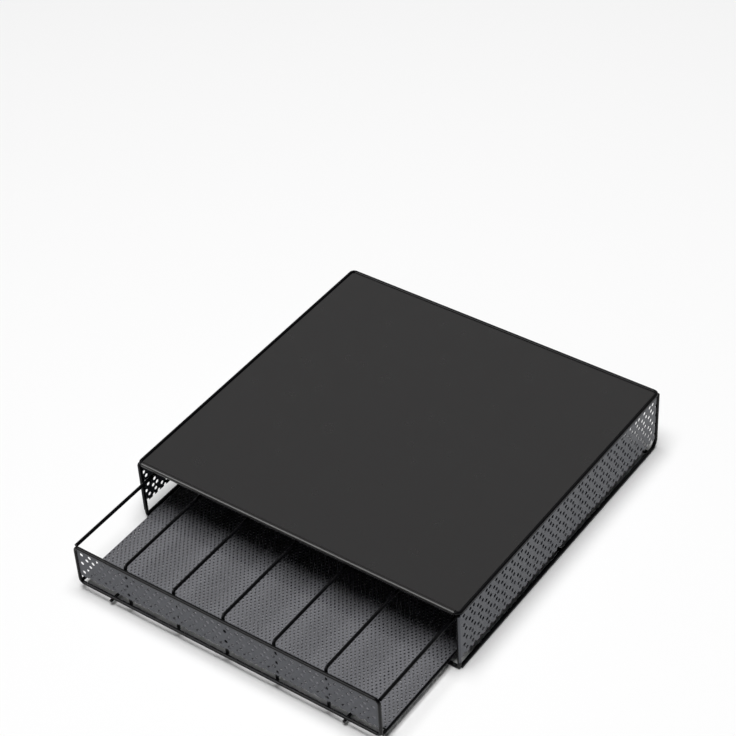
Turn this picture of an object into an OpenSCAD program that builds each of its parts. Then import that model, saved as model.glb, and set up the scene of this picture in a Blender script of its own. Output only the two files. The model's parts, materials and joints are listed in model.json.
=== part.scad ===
// Coffee pod drawer: a low case of welded wire and sheet steel that carries a
// coffee machine, with a drawer for rows of pods that slides out under it.
// X is the width, -Y the way the drawer opens, +Z up, all in millimetres.
// The origin is the middle of the footprint with the drawer part way out.

/* [Case] */
// Width of the case over its side sheets
case_w = 340; // [300:1:420]
// Depth of the case from its front wire to its rear wire
case_d = 327; // [280:1:400]
// Height from the table to the top of the platform's rolled edge
case_h = 67; // [62:0.5:90]
// Diameter of the case's wires
case_wire = 3.4; // [3:0.1:4]
// Radius of the small bends in the case's wires, on the centre line
case_bend = 4; // [3.5:0.1:4.5]
// Radius of the bend at the foot of each rear post, on the centre line
post_bend = 9; // [6:0.5:14]
// Thickness of the platform sheet
platform_t = 0.6; // [0.5:0.1:1]
// How far the platform's front edge rolls round its wire, from the rear
roll_turn = 240; // [200:5:260]
// Height of the side sheet's lower edge above the table
side_sheet_z = 14; // [10:0.5:20]
// Space between a side sheet's rear edge and the rear post
side_sheet_gap = 3.6; // [1:0.1:6]
// How far the side sheet is bent round each front leg, from the leg's outer side
leg_wrap = 70; // [45:5:90]
// Height of the lower end of the sheet bent round each front leg
leg_wrap_z = 9; // [8:0.5:14]

/* [Drawer] */
// Lanes for pods across the drawer
lanes = 6; // [4:1:7]
// Space on each side between the drawer and the case's front legs
drawer_side_gap = 5.6; // [2:0.1:8]
// Space left behind the drawer when it is shut
drawer_rear_gap = 6; // [4:0.5:12]
// Height left between the dividers and the wires that carry the platform
drawer_top_gap = 6.7; // [2:0.1:12]
// How far the drawer stands out of the case
drawer_out = 99; // [0:1:180]
// Diameter of the drawer's frame wires
drawer_wire = 3.2; // [2.8:0.1:3.6]
// Radius of the bends in the drawer's end frames, on the centre line
drawer_bend = 4.4; // [4:0.1:6]
// Diameter of the two wires that the drawer slides on
runner_wire = 2.8; // [2.4:0.1:3.2]
// Distance between the two wires that the drawer slides on
runner_spacing = 247; // [180:1:260]
// How far those wires stand out in front of the drawer
runner_stub = 1; // [0.5:0.5:3]
// Height left between those wires and the case's floor wires
slide_gap = 0.3; // [0.2:0.1:0.6]
// Diameter of the divider wires
divider_wire = 3; // [2.4:0.1:3.2]
// Height of a divider's centre line above the top of the drawer's front
divider_rise = 1.5; // [1:0.1:4]
// Radius of a divider's bends, on the centre line
divider_bend = 3; // [2.5:0.1:3]
// Distance from the drawer's front to the first floor wire
floor_setback = 10; // [9:0.5:16]
// Thickness of the floor mesh
floor_t = 1; // [0.8:0.1:1.5]
// Height of the front sheet's lower edge above the drawer's underside
front_sheet_z = 10.5; // [8:0.5:14]

/* [Perforated sheet] */
// Thickness of the perforated sheet
sheet_t = 0.5; // [0.4:0.1:0.8]
// Diameter of a hole
hole_d = 3.6; // [3:0.1:4]
// Distance from a rosette's middle hole to its four diagonal holes
rosette_r = 7; // [6.5:0.1:7.5]
// Distance from a rosette's middle hole to the hole on each side of it
rosette_side = 9.5; // [9:0.1:10]
// Distance from a rosette's middle hole to the holes above and below it
rosette_tip = 11.2; // [10.8:0.1:11.6]
// Least distance from a hole's middle to an edge that doesn't cut through the holes
hole_margin = 3; // [2.5:0.5:6]
// Distance between rosettes along the front sheet
front_pitch = 25; // [24:0.1:27]
// Distance between the front sheet's rows of rosettes
front_rise = 16.5; // [16.5:0.1:18]
// Place of the first rosette across the front sheet, from its middle
front_row_x = -6; // [-12:0.5:12]
// Height of the front sheet's first row above the drawer's underside
front_row_z = 9.8; // [8:0.1:14]
// Distance between rosettes along the side sheets
side_pitch = 24.3; // [24:0.1:27]
// Distance between the side sheets' rows of rosettes
side_rise = 17; // [16.5:0.1:18]
// Distance from the case's front to the first rosette of the side sheets
side_row_y = 19.5; // [12:0.5:24]
// Height of the side sheets' first row above the table
side_row_z = 9; // [7:0.1:12]

/* [Hidden] */
$fn = 48;

// Case, measured from the middle of its front edge on the table
case_r = case_wire / 2;
case_front_y = -(case_d - drawer_out - runner_stub) / 2;
base_z = case_r;
top_z = case_h - platform_t - case_r;
side_x = case_w / 2 - case_r;
leg_x = case_w / 2 - sheet_t - case_r;
leg_y = sheet_t + case_r;
loop_front_y = platform_t + case_r;
rear_y = case_d - case_r;
rail_start_y = leg_y + lap(case_r, leg_corner_miss(), 0);
sheet_touch = lap(case_r, 0, case_r - sheet_t);
deck_z = top_z - platform_t / 2 - case_r;
deck_x = side_x - lap(case_r, 0, platform_t / 2);

// Drawer, measured from the middle of its front edge on its underside
drawer_r = drawer_wire / 2;
drawer_w = 2 * (leg_x - case_r - drawer_side_gap);
drawer_d = case_d - drawer_rear_gap;
drawer_z = case_wire + slide_gap + runner_wire;
divider_z = deck_z - case_r - drawer_top_gap - divider_wire / 2 - drawer_z;
drawer_h = divider_z - divider_rise;
frame_y = drawer_r;
rail_x = drawer_w / 2 - drawer_r;
rail_top_z = drawer_h - drawer_r;
rail_start = frame_y + drawer_r;
rail_end = drawer_d - drawer_wire;
lane_pitch = (drawer_w - 2 * drawer_wire) / lanes;
divider_front_y = rail_start + divider_wire / 2;
divider_rear_y = rail_end - divider_wire / 2;
floor_rear_y = drawer_d - floor_setback;

colour_sheet = "#2c2c2e";
colour_wire = "#141416";

// Reach of a wire's surface from its axis, a given distance off to one side
function lap(r, off, shift) = sqrt(r * r - pow(max(off, 0) + shift, 2));
// How far the side rail's edge misses the centre line of the front frame's corner
function leg_corner_miss() =
    norm([side_x - leg_x + case_bend, case_bend]) - case_bend - case_r;

module wire_x(d, x0, x1) translate([x0, 0, 0]) rotate([0, 90, 0]) cylinder(d = d, h = x1 - x0);
module wire_y(d, y0, y1) translate([0, y0, 0]) rotate([-90, 0, 0]) cylinder(d = d, h = y1 - y0);

// A quarter bend from +X to +Y about the origin
module quarter(d, bend) rotate_extrude(angle = 90) translate([bend, 0]) circle(d = d);

// An L of wire lying flat: from the origin along +X, then up along +Y
module l_wire(d, run, rise, bend) {
    wire_x(d, 0, run - bend);
    translate([run - bend, bend, 0]) rotate(-90) quarter(d, bend);
    translate([run, 0, 0]) wire_y(d, bend, rise);
}

// A U of wire lying flat: its base along X, its legs along +Y
module u_wire(d, width, leg, bend) {
    wire_x(d, -width / 2 + bend, width / 2 - bend);
    for (side = [-1, 1]) {
        translate([side * width / 2, 0, 0]) wire_y(d, bend, leg);
        translate([side * (width / 2 - bend), bend, 0])
            rotate(side > 0 ? -90 : 180) quarter(d, bend);
    }
}

// A closed rounded loop of wire lying flat, its centre at the origin
module loop_wire(d, width, depth, bend)
    for (turn = [0, 180]) rotate(turn) translate([0, -depth / 2, 0]) u_wire(d, width, depth / 2, bend);

// Where a rosette's nine round holes are, from its middle hole
function rosette() = [[0, 0],
    for (a = [60, 120, 240, 300]) rosette_r * [cos(a), sin(a)],
    for (s = [-1, 1]) [s * rosette_side, 0],
    for (s = [-1, 1]) [0, s * rosette_tip]];

// Staggered rows of rosettes on a sheet between two corners, counted from the rosette at first.
// The lower edge cuts through holes, and so does the far end where cut_end is true.
module perforation(low, high, first, pitch, rise, cut_end) {
    far_x = cut_end ? high.x + hole_d / 2 : high.x - hole_margin;
    rows = [floor((low.y - rosette_tip - first.y) / rise):ceil((high.y + rosette_tip - first.y) / rise)];
    for (row = rows) {
        shift = first.x + (row % 2 == 0 ? 0 : pitch / 2);
        steps = [floor((low.x - shift) / pitch):ceil((high.x - shift) / pitch)];
        for (i = steps, hole = rosette()) {
            x = shift + i * pitch + hole.x;
            z = first.y + row * rise + hole.y;
            if (x > low.x + hole_margin && x < far_x
                && z > low.y - hole_d / 2 && z < high.y - hole_margin)
                translate([x, z]) circle(d = hole_d);
        }
    }
}

// The parts of the case are placed from its front edge
module in_case() translate([0, case_front_y, 0]) children();
// The parts of the drawer are placed from its own front edge and underside
module in_drawer() translate([0, case_front_y - drawer_out, drawer_z]) children();

// Flat platform sheet inside the top loop, rolled up over the loop's front wire
module platform() color(colour_sheet) in_case() {
    flat_x = side_x - case_r;
    flat_bend = case_bend - case_r;
    roll_r = case_r + platform_t;
    back = loop_front_y + sqrt(case_r * case_r - platform_t * platform_t / 4);
    translate([0, 0, top_z - platform_t / 2]) linear_extrude(platform_t) difference() {
        union() {
            translate([-flat_x, back]) square([2 * flat_x, rear_y - case_r - flat_bend - back]);
            translate([-flat_x + flat_bend, back])
                square([2 * (flat_x - flat_bend), rear_y - case_r - back]);
            for (side = [-1, 1])
                translate([side * (flat_x - flat_bend), rear_y - case_r - flat_bend])
                    circle(r = flat_bend);
        }
        for (side = [-1, 1]) translate([side * (side_x - case_bend), loop_front_y + case_bend])
            rotate(side > 0 ? -90 : 180) difference() {
                square(case_bend + case_r);
                circle(r = flat_bend);
            }
    }
    translate([side_x - case_bend, loop_front_y, top_z]) rotate([90, 0, -90])
        linear_extrude(2 * (side_x - case_bend)) difference() {
            circle(r = roll_r);
            circle(r = case_r);
            mirror([1, 0]) wedge(roll_turn - 360, -asin(platform_t / 2 / roll_r), 2 * roll_r);
        }
}

// A flat wedge with its point at the origin, from angle a0 to angle a1
module wedge(a0, a1, reach)
    polygon([[0, 0], for (a = [a0, (a0 + a1) / 2, a1]) reach * [cos(a), sin(a)]]);

// Loop of wire round the top of the case
module top_loop() color(colour_wire) in_case()
    translate([0, (loop_front_y + rear_y) / 2, top_z])
        loop_wire(case_wire, 2 * side_x, rear_y - loop_front_y, case_bend);

// U of wire that frames the drawer's mouth: two legs and the front foot
module front_frame() color(colour_wire) in_case()
    translate([0, leg_y, base_z]) rotate([90, 0, 0])
        u_wire(case_wire, 2 * leg_x, top_z - case_r - base_z, case_bend);

// Side rail on the table that turns up into the rear post
module side_wire(side) color(colour_wire) in_case()
    translate([side * side_x, rail_start_y, base_z]) rotate([90, 0, 90])
        l_wire(case_wire, rear_y - rail_start_y, top_z - case_r - base_z, post_bend);

// Perforated side sheet, its front edge bent round the outside of the front leg
module side_sheet(side) color(colour_sheet) in_case() {
    top = top_z - sheet_touch;
    rear = rear_y - case_r - side_sheet_gap;
    translate([side > 0 ? case_w / 2 - sheet_t : -case_w / 2, 0, 0])
        rotate([90, 0, 90]) linear_extrude(sheet_t) difference() {
            translate([leg_y, side_sheet_z]) square([rear - leg_y, top - side_sheet_z]);
            perforation([leg_y, side_sheet_z], [rear, top], [side_row_y, side_row_z], side_pitch,
                side_rise, true);
        }
    open_from = side > 0 ? 0 : 180 + leg_wrap;
    translate([side * leg_x, leg_y, leg_wrap_z])
        linear_extrude(top_z - case_r - leg_wrap_z - sheet_t) difference() {
            circle(r = case_r + sheet_t);
            circle(r = case_r);
            wedge(open_from, open_from + 360 - leg_wrap, 4 * case_wire);
        }
}

// Cross wires on the table between the side rails
module base_wire(y) color(colour_wire) in_case()
    translate([0, y, base_z]) wire_x(case_wire, -side_x + case_r, side_x - case_r);

// Cross wires that carry the platform between the sides of the top loop
module deck_support(y) color(colour_wire) in_case()
    translate([0, y, deck_z]) wire_x(case_wire, -deck_x, deck_x);

// Upright loop of wire at one end of the drawer
module drawer_frame(y) color(colour_wire) in_drawer()
    translate([0, y, drawer_h / 2]) rotate([90, 0, 0])
        loop_wire(drawer_wire, drawer_w - drawer_wire, drawer_h - drawer_wire, drawer_bend);

// Perforated front sheet in the middle of the front frame, open above the frame's lower wire
module drawer_front_sheet() color(colour_sheet) in_drawer() {
    half = rail_x - drawer_r;
    top = rail_top_z - drawer_r;
    corner = drawer_bend - drawer_r;
    translate([0, frame_y + sheet_t / 2, 0]) rotate([90, 0, 0]) linear_extrude(sheet_t) difference() {
        union() {
            translate([-half, front_sheet_z]) square([2 * half, top - corner - front_sheet_z]);
            translate([-half + corner, front_sheet_z])
                square([2 * (half - corner), top - front_sheet_z]);
            for (side = [-1, 1])
                translate([side * (half - corner), top - corner]) circle(r = corner);
        }
        perforation([-half, front_sheet_z], [half, top], [front_row_x, front_row_z], front_pitch,
            front_rise, false);
    }
}

// Straight rails along the drawer's sides, from its front frame to its rear frame
module drawer_rail(side, z) color(colour_wire) in_drawer()
    translate([side * rail_x, 0, z]) wire_y(drawer_wire, rail_start, rail_end);

// Mesh floor that lies on the cross wires and on the lower side rails
module drawer_floor_mesh() color(colour_sheet) in_drawer()
    translate([-rail_x, floor_setback - drawer_r, drawer_wire])
        cube([2 * rail_x, floor_rear_y - floor_setback + drawer_wire, floor_t]);

// Cross wires under the mesh, between the lower side rails
module floor_wire(y) color(colour_wire) in_drawer()
    translate([0, y, drawer_r]) wire_x(drawer_wire, -rail_x + drawer_r, rail_x - drawer_r);

// Wires under the drawer that slide over the case's cross wires
module runner(side) color(colour_wire) in_drawer()
    translate([side * runner_spacing / 2, 0, -runner_wire / 2])
        wire_y(runner_wire, -runner_stub, drawer_d);

// Hoop of wire between two lanes, its legs against the insides of the end frames
module divider(i) color(colour_wire) in_drawer()
    translate([(i - lanes / 2) * lane_pitch, (divider_front_y + divider_rear_y) / 2, divider_z])
        rotate([-90, 0, 90])
            u_wire(divider_wire, divider_rear_y - divider_front_y, divider_z, divider_bend);

platform();
top_loop();
front_frame();
side_wire(-1);  // side_wire_left
side_wire(1);  // side_wire_right
side_sheet(-1);  // side_sheet_left
side_sheet(1);  // side_sheet_right
base_wire(case_d / 2);  // middle_base_wire
base_wire(rear_y - post_bend - case_wire);  // rear_base_wire
deck_support(case_d / 3);  // deck_support_front
deck_support(case_d * 2 / 3);  // deck_support_rear
drawer_frame(frame_y);  // drawer_front_frame
drawer_front_sheet();
drawer_frame(drawer_d - drawer_r);  // drawer_rear_frame
drawer_rail(-1, rail_top_z);  // drawer_top_rail_left
drawer_rail(1, rail_top_z);  // drawer_top_rail_right
drawer_rail(-1, drawer_r);  // drawer_bottom_rail_left
drawer_rail(1, drawer_r);  // drawer_bottom_rail_right
drawer_floor_mesh();
floor_wire(floor_setback);  // floor_wire_front
floor_wire(drawer_d / 3);  // floor_wire_middle_front
floor_wire(drawer_d * 2 / 3);  // floor_wire_middle_rear
floor_wire(floor_rear_y);  // floor_wire_rear
runner(-1);  // runner_left
runner(1);  // runner_right
divider(1);  // divider_1
divider(2);  // divider_2
divider(3);  // divider_3
divider(4);  // divider_4
divider(5);  // divider_5
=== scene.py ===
# %% [markdown]
# # A pod drawer of coated wire and sheet
# A flat drawer that slides in a low wire case. The case is a round wire frame with a sheet platform on
# top and perforated sheets at its sides, and the drawer is a wire basket on a floor of diamond mesh.
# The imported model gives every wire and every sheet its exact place. It is loaded first as a fixed
# frame, and all that follows is in metres in the same axes: X across, Y to the rear, Z up.

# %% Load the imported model
import json
import math
import bpy
from mathutils import Matrix, Vector


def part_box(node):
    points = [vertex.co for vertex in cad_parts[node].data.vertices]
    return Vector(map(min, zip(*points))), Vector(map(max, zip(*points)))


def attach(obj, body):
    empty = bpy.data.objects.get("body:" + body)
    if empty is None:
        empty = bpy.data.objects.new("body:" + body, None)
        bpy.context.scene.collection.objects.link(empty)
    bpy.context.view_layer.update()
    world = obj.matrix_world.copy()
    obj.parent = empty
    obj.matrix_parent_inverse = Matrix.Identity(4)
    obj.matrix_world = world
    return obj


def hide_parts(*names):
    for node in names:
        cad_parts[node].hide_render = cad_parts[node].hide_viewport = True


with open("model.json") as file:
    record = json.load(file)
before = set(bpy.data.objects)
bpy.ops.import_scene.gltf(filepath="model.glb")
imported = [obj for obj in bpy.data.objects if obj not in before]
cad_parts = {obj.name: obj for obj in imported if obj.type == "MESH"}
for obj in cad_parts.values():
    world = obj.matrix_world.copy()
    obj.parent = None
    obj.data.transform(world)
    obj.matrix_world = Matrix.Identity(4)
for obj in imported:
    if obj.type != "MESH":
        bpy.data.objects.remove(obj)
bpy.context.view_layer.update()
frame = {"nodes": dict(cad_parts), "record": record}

# %% [markdown]
# ## Two small helpers
# Operators act on everything that is selected, and the loaded nodes arrive selected. So each step
# starts by letting go of everything. A colour is easiest to compare as a hex value, but a shader
# wants linear light, so one function does that sum for every colour in the file.

# %% Selection and colour
MM = 0.001


def pick(*things):
    """Selects only these objects and makes the first one active."""
    bpy.ops.object.select_all(action="DESELECT")
    for thing in things:
        thing.select_set(True)
    if things:
        bpy.context.view_layer.objects.active = things[0]


def srgb(code):
    """An sRGB hex colour as the linear RGBA that a shader socket takes."""
    parts = [int(code[i:i + 2], 16) / 255 for i in (1, 3, 5)]
    return (*[p / 12.92 if p <= 0.04045 else ((p + 0.055) / 1.055) ** 2.4 for p in parts], 1.0)


print("mid grey #808080 is", round(srgb("#808080")[0], 3), "in linear light")

# %% [markdown]
# ## The camera
# A long lens from almost two metres away keeps the parallel wires nearly parallel. Its place is given
# as a point and its turn as three unit vectors, because a slight roll is easier to write that way than
# as angles: the camera's own X points right in the picture, Y up, and Z back to the eye.

# %% Camera
EYE = Vector((0.8706, -1.1228, 1.3703))
RIGHT = Vector((0.81481, 0.57782, -0.04702)).normalized()
BACK = Vector((0.46605, -0.60513, 0.64546)).normalized()
UP = BACK.cross(RIGHT).normalized()

lens = bpy.data.cameras.new("camera")
lens.sensor_width = 36
lens.lens = 107.95
camera = bpy.data.objects.new("camera", lens)
bpy.context.scene.collection.objects.link(camera)
turn = Matrix((UP.cross(BACK), UP, BACK)).transposed()
camera.matrix_world = Matrix.Translation(EYE) @ turn.to_4x4()
bpy.context.scene.camera = camera
bpy.context.scene.view_settings.view_transform = "Standard"
print("camera", [round(v, 3) for v in EYE], "lens", round(lens.lens, 2), "distance", round(EYE.length, 2))

# %% [markdown]
# ## One function for every node
# A material is a small tree. Each node in it needs a kind, a few settings, and for each input a value
# or a link, so one function that takes all of these keeps a material down to a few readable lines.
# An input goes by its name, or by its number where two inputs of a node have the same name.

# %% Node helper
def node(tree, kind, inputs=None, **settings):
    """Adds a node to a tree. An input is given as a value, or as the output that feeds it."""
    made = tree.nodes.new(kind)
    for name, value in settings.items():
        setattr(made, name, value)
    for socket, value in (inputs or {}).items():
        if isinstance(value, bpy.types.NodeSocket):
            tree.links.new(value, made.inputs[socket])
        else:
            made.inputs[socket].default_value = value
    return made


def new_material(name):
    """An empty material and its tree."""
    material = bpy.data.materials.new(name)
    material.use_nodes = True
    material.node_tree.nodes.clear()
    return material, material.node_tree


print("node helper ready")

# %% [markdown]
# ## The floor
# A white table top. A plain plane with matt white paint is enough: the lamp is set so that it comes
# out just short of white, and what the object shades stays dark, as it does under a low case.

# %% Floor
FLOOR_SIZE = 12


def make_floor():
    pick()
    bpy.ops.mesh.primitive_plane_add(size=FLOOR_SIZE, location=(0, 0, 0))
    floor = bpy.context.object
    floor.name = "table_top"
    material, tree = new_material("Matt white laminate table top")
    paint = node(tree, "ShaderNodeBsdfDiffuse", {"Color": srgb("#f7f7f7")})
    node(tree, "ShaderNodeOutputMaterial", {"Surface": paint.outputs[0]})
    floor.data.materials.append(material)
    return floor


floor = make_floor()
print("floor", [round(v, 2) for v in floor.dimensions[:2]], "m")

# %% [markdown]
# ## The room that the coat mirrors
# Satin black shows what stands round it more than what shines on it. Wires read as black when the
# room in front and overhead is dark, and the sheets read as grey because they mirror the white table.
# So the world is a dim room, and what the coat mirrors is set apart from what lights it: only glossy
# rays meet a white backdrop, high behind on the left, which turns the platform grey, and a window
# high in front on the left, which draws a line of light along the rolled edge. Real boards and lamps
# could do the same, but they would also light the table and take the dark out from under the case.

# %% World: how bright each part of it is, and where it lies
ROOM = 0.015

# The backdrop fades in sideways, towards one way, and upwards, as the sine of the angle over the table.
BACKDROP = 0.6
BACKDROP_WAY = (-0.6, 0.8, 0.0)
BACKDROP_START, BACKDROP_FULL = 0.15, 0.6
BACKDROP_FOOT, BACKDROP_TOP = 0.35, 0.55

# The window is a soft disc round its way, with its rim and full part as cosines of the angle to it.
WINDOW = 6.0
WINDOW_WAY = (-0.47, -0.53, 0.71)
WINDOW_RIM, WINDOW_FULL = 0.9, 0.98
print("room", ROOM, "backdrop", BACKDROP, "window", WINDOW)


# %% World: the shader
def make_world():
    world = bpy.data.worlds.new("studio")
    bpy.context.scene.world = world
    world.use_nodes = True
    tree = world.node_tree
    tree.nodes.clear()
    way = node(tree, "ShaderNodeTexCoord").outputs["Generated"]
    path = node(tree, "ShaderNodeLightPath")
    toward = node(tree, "ShaderNodeVectorMath", {0: way, 1: BACKDROP_WAY}, operation="DOT_PRODUCT")
    side = node(tree, "ShaderNodeMapRange", {"Value": toward.outputs["Value"],
                                             "From Min": BACKDROP_START, "From Max": BACKDROP_FULL})
    height = node(tree, "ShaderNodeSeparateXYZ", {"Vector": way})
    raised = node(tree, "ShaderNodeMapRange", {"Value": height.outputs["Z"],
                                               "From Min": BACKDROP_FOOT, "From Max": BACKDROP_TOP})
    share = node(tree, "ShaderNodeMath", {0: side.outputs[0], 1: raised.outputs[0]}, operation="MULTIPLY")
    wall = node(tree, "ShaderNodeMapRange", {"Value": share.outputs[0], "To Min": ROOM, "To Max": BACKDROP})
    front = node(tree, "ShaderNodeVectorMath", {0: way, 1: WINDOW_WAY}, operation="DOT_PRODUCT")
    window = node(tree, "ShaderNodeMapRange", {"Value": front.outputs["Value"], "From Min": WINDOW_RIM,
                                               "From Max": WINDOW_FULL, "To Max": WINDOW})
    seen = node(tree, "ShaderNodeMath", {0: wall.outputs[0], 1: window.outputs[0]}, operation="ADD")
    mirrored = node(tree, "ShaderNodeMapRange", {"Value": path.outputs["Is Glossy Ray"],
                                                 "To Min": ROOM, "To Max": seen.outputs[0]})
    room = node(tree, "ShaderNodeBackground", {"Color": (1, 1, 1, 1), "Strength": mirrored.outputs[0]})
    white = node(tree, "ShaderNodeBackground", {"Color": (1, 1, 1, 1), "Strength": 1.0})
    both = node(tree, "ShaderNodeMixShader",
                {0: path.outputs["Is Camera Ray"], 1: room.outputs[0], 2: white.outputs[0]})
    node(tree, "ShaderNodeOutputWorld", {"Surface": both.outputs[0]})
    return world


print("world", make_world().name)

# %% [markdown]
# ## The lamp over the table
# Nearly all the light comes from one large lamp. It hangs five metres up, so that the table is evenly
# white as far as the picture reaches and the shadow stays close under the object. A lamp near by would
# leave the corners grey. It is kept out of reflections, because the room above already has those.

# %% Lamp
LAMP_PLACE = Vector((0.1, -0.35, 5))
LAMP_SIZE = 2.9
LAMP_WATTS = 290


def make_lamp():
    """A square lamp that faces the object."""
    lamp = bpy.data.lights.new("overhead", "AREA")
    lamp.shape = "SQUARE"
    lamp.size = LAMP_SIZE
    lamp.energy = LAMP_WATTS
    made = bpy.data.objects.new("overhead", lamp)
    bpy.context.scene.collection.objects.link(made)
    made.location = LAMP_PLACE
    made.rotation_mode = "QUATERNION"
    made.rotation_quaternion = (-LAMP_PLACE).to_track_quat("-Z", "Y")
    made.visible_glossy = False
    made.visible_camera = False
    return made


print("lamp", make_lamp().name, "at", [round(v, 2) for v in LAMP_PLACE])

# %% [markdown]
# ## Powder coat
# Powder coat is dry paint dust that is baked until it flows together. It comes out satin, with a low
# orange peel about two millimetres across and slight changes in gloss where the film is thicker. An
# image of paint would show its tiles on so plain a face, so noise draws both. The same tree does for
# every part, each with its own colour and gloss. It is paint, so it isn't metallic and reflects as any
# plastic film does, with an IOR of 1.5.

# %% Powder coat material
COAT_IOR = 1.5
FILM_WIDTH = 22 * MM
PEEL_WIDTH = 1.1 * MM
THIN_FILM, THICK_FILM = 0.3, 0.7


def powder_coat(name, colour, patch, roughness, spread, peel, shine=0.5):
    """A baked coat. patch is its colour where the film is thick, peel its orange peel's depth in mm."""
    material, tree = new_material(name)
    place = node(tree, "ShaderNodeTexCoord").outputs["Object"]
    film = node(tree, "ShaderNodeTexNoise", {"Vector": place, "Scale": 1 / FILM_WIDTH, "Detail": 3.0})
    # A Mix node has its two colours at inputs 6 and 7, and the mixed one at output 2.
    tint = node(tree, "ShaderNodeMix", {0: film.outputs[0], 6: srgb(colour), 7: srgb(patch)},
                data_type="RGBA")
    rough = node(tree, "ShaderNodeMapRange",
                 {"Value": film.outputs[0], "From Min": THIN_FILM, "From Max": THICK_FILM,
                  "To Min": roughness - spread, "To Max": roughness + spread})
    grain = node(tree, "ShaderNodeTexNoise", {"Vector": place, "Scale": 1 / PEEL_WIDTH, "Detail": 2.0})
    bump = node(tree, "ShaderNodeBump", {"Strength": 1.0, "Distance": peel * MM, "Height": grain.outputs[0]})
    coat = node(tree, "ShaderNodeBsdfPrincipled",
                {"Base Color": tint.outputs[2], "Roughness": rough.outputs[0], "IOR": COAT_IOR,
                 "Specular IOR Level": shine, "Normal": bump.outputs[0]})
    node(tree, "ShaderNodeOutputMaterial", {"Surface": coat.outputs[0]})
    return material


print("film patches", round(FILM_WIDTH / MM), "mm wide, orange peel", round(2 * PEEL_WIDTH / MM, 1), "mm")

# %% [markdown]
# ## Four coats
# One black powder went on every part. A rolled sheet keeps a smooth film. A punched sheet and a
# slit mesh are full of edges, which leave the film duller. Their lighter grey is painted light: it
# stands for the light they catch and the white table they mirror. On a drawn wire the coat pulls thin
# and smooth, and its round face sends nearly all of the room away from the eye, so a wire is the
# blackest part, with only a narrow line of light.

# %% Coats, by the record's slots
COATS = {
    "platform_sheet": powder_coat(
        "Satin powder coat on rolled sheet steel", "#1b1a1a", "#1f1e1e",
        roughness=0.30, spread=0.03, peel=0.012),
    # This grey is painted light: the sheet is as black as the rest, and the lighter colour stands for the
    # front light it catches.
    "perforated_sheet": powder_coat(
        "Satin powder coat on perforated sheet steel", "#505258", "#56585e",
        roughness=0.42, spread=0.04, peel=0.012, shine=0.28),
    "frame_wire": powder_coat(
        "Gloss powder coat on drawn steel wire", "#060607", "#08080a",
        roughness=0.28, spread=0.03, peel=0.004, shine=0.16),
    # This grey is painted light: the mesh is coated black, and the lighter colour stands for the light on
    # its strands.
    "floor_mesh": powder_coat(
        "Satin powder coat on expanded steel mesh", "#68686c", "#6e6e72",
        roughness=0.48, spread=0.04, peel=0.006, shine=0.28),
}
print("coats:", ", ".join(COATS))

# %% [markdown]
# ## Coating the loaded nodes
# The record already says which finish each node has, so the coats are handed out from there and no
# list of names is kept twice.

# %% Coat the nodes
def put_coat(thing, slot):
    thing.data.materials.clear()
    thing.data.materials.append(COATS[slot])
    for face in thing.data.polygons:
        face.material_index = 0


for entry in frame["record"]["subparts"]:
    put_coat(frame["nodes"][entry["node"]], entry["material_slot"])

# %% [markdown]
# ## The diamond floor
# Expanded metal starts as a plain sheet. A toothed blade slits it in staggered rows and pulls it, so
# that each slit opens into a diamond and nothing is cut away. A flat drawer floor is then rolled level.
# The frame has only a plain sheet of the outer size, so this piece takes its place. A picture of holes
# would be flat from close by, and cutting eight thousand holes with a boolean is slow, so one diamond
# is drawn and repeated. A finer mesh would go past 200,000 triangles, which is much for one piece.

# %% Diamond floor: the size of one diamond
net_low, net_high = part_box("drawer_floor_mesh")
net_size = net_high - net_low
ACROSS = 4.2 * MM
ALONG = 5.8 * MM
STRAND = 1.9 * MM
columns = math.ceil(net_size.x / ACROSS) + 1
rows = math.ceil(net_size.y / ALONG) + 1
print("floor", [round(v / MM, 1) for v in net_size], "mm,", columns, "by", rows, "diamonds, twice")

# %% [markdown]
# ### One diamond, then all of them
# A four sided disc is stretched to a diamond and inset by half a strand, and its middle is taken out.
# Diamonds side by side leave a gap of the same shape between every four. So the first array puts a
# copy half a step away, the second repeats that pair along a row, and the third repeats the row over
# the floor. Copying by hand would do the same with far more steps.

# %% Diamond floor: the flat net
def one_diamond(x, y, z):
    """A flat diamond shaped ring. Its rim is the middle line of the strands round one opening."""
    pick()
    bpy.ops.mesh.primitive_circle_add(vertices=4, radius=0.5, fill_type="NGON", location=(0, 0, 0))
    ring = bpy.context.object
    bpy.ops.object.mode_set(mode="EDIT")
    bpy.ops.mesh.select_all(action="SELECT")
    bpy.ops.transform.resize(value=(ACROSS, ALONG, 1))
    bpy.ops.mesh.inset(thickness=STRAND / 2)
    bpy.ops.mesh.delete(type="ONLY_FACE")
    bpy.ops.mesh.select_all(action="SELECT")
    bpy.ops.transform.translate(value=(x, y, z))
    bpy.ops.object.mode_set(mode="OBJECT")
    return ring


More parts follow.
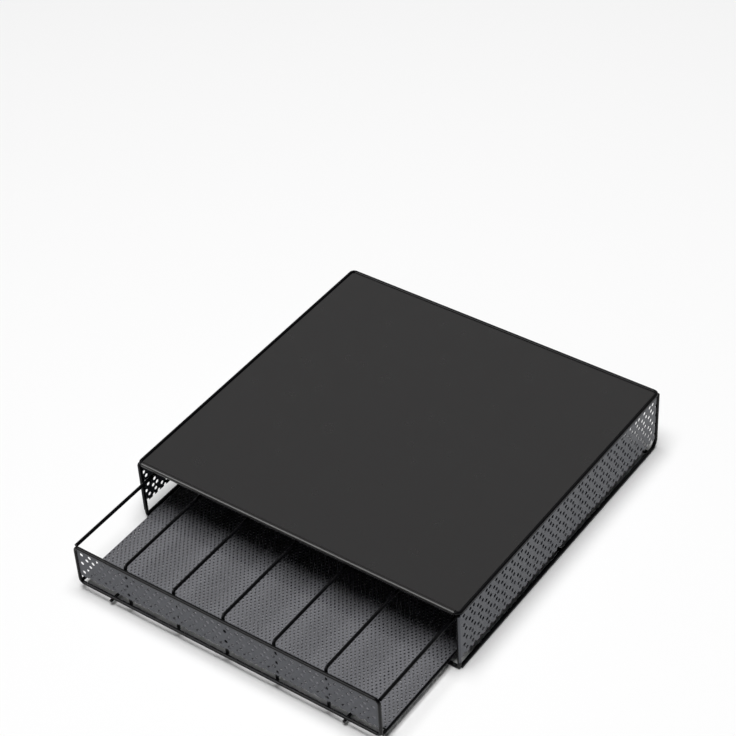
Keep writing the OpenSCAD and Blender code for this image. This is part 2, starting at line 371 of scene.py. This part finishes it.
def repeat(thing, count, step):
    """An applied array along one step."""
    pick(thing)
    array = thing.modifiers.new("array", "ARRAY")
    array.count = count
    array.use_relative_offset = False
    array.use_constant_offset = True
    array.constant_offset_displace = step
    bpy.ops.object.modifier_apply(modifier=array.name)


middle = (net_low + net_high) / 2
net = one_diamond(middle.x - (columns - 1) * ACROSS / 2, middle.y - (rows - 1) * ALONG / 2, middle.z)
net.name = "floor_diamond_mesh"
repeat(net, 2, (ACROSS / 2, ALONG / 2, 0))
repeat(net, columns, (ACROSS, 0, 0))
repeat(net, rows, (0, ALONG, 0))
print("net of", len(net.data.polygons), "strand faces")

# %% [markdown]
# ### Trimming and thickness
# Neighbours only touch so far, so their doubled corners are merged first. The flat net is then cut to
# the frame's box, and it gets its thickness last, because that also closes the cut edges. Cutting a
# thick net would leave its ends open.

# %% Diamond floor: merge, trim and thicken
DOUBLES = 0.05 * MM


def merge_doubles(thing, distance):
    pick(thing)
    bpy.ops.object.mode_set(mode="EDIT")
    bpy.ops.mesh.select_all(action="SELECT")
    bpy.ops.mesh.remove_doubles(threshold=distance)
    bpy.ops.object.mode_set(mode="OBJECT")


def trim(thing, point, outward):
    """Cuts away all that lies past a plane."""
    pick(thing)
    bpy.ops.object.mode_set(mode="EDIT")
    bpy.ops.mesh.select_all(action="SELECT")
    bpy.ops.mesh.bisect(plane_co=point, plane_no=outward, clear_outer=True)
    bpy.ops.object.mode_set(mode="OBJECT")


merge_doubles(net, DOUBLES)
trim(net, net_low, (-1, 0, 0))
trim(net, net_low, (0, -1, 0))
trim(net, net_high, (1, 0, 0))
trim(net, net_high, (0, 1, 0))
wall = net.modifiers.new("wall", "SOLIDIFY")
wall.thickness = net_size.z
wall.offset = 0
pick(net)
bpy.ops.object.modifier_apply(modifier=wall.name)
print("diamond floor:", sum(len(f.vertices) - 2 for f in net.data.polygons), "triangles")

# %% [markdown]
# ### The net in its place
# The net slides with the drawer and stands for the plain sheet, which stays hidden. It takes the coat
# that the record gives that sheet.

# %% Diamond floor: body, node and coat
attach(net, "drawer")
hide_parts("drawer_floor_mesh")
put_coat(net, "floor_mesh")
print(net.name, "rides on the drawer")
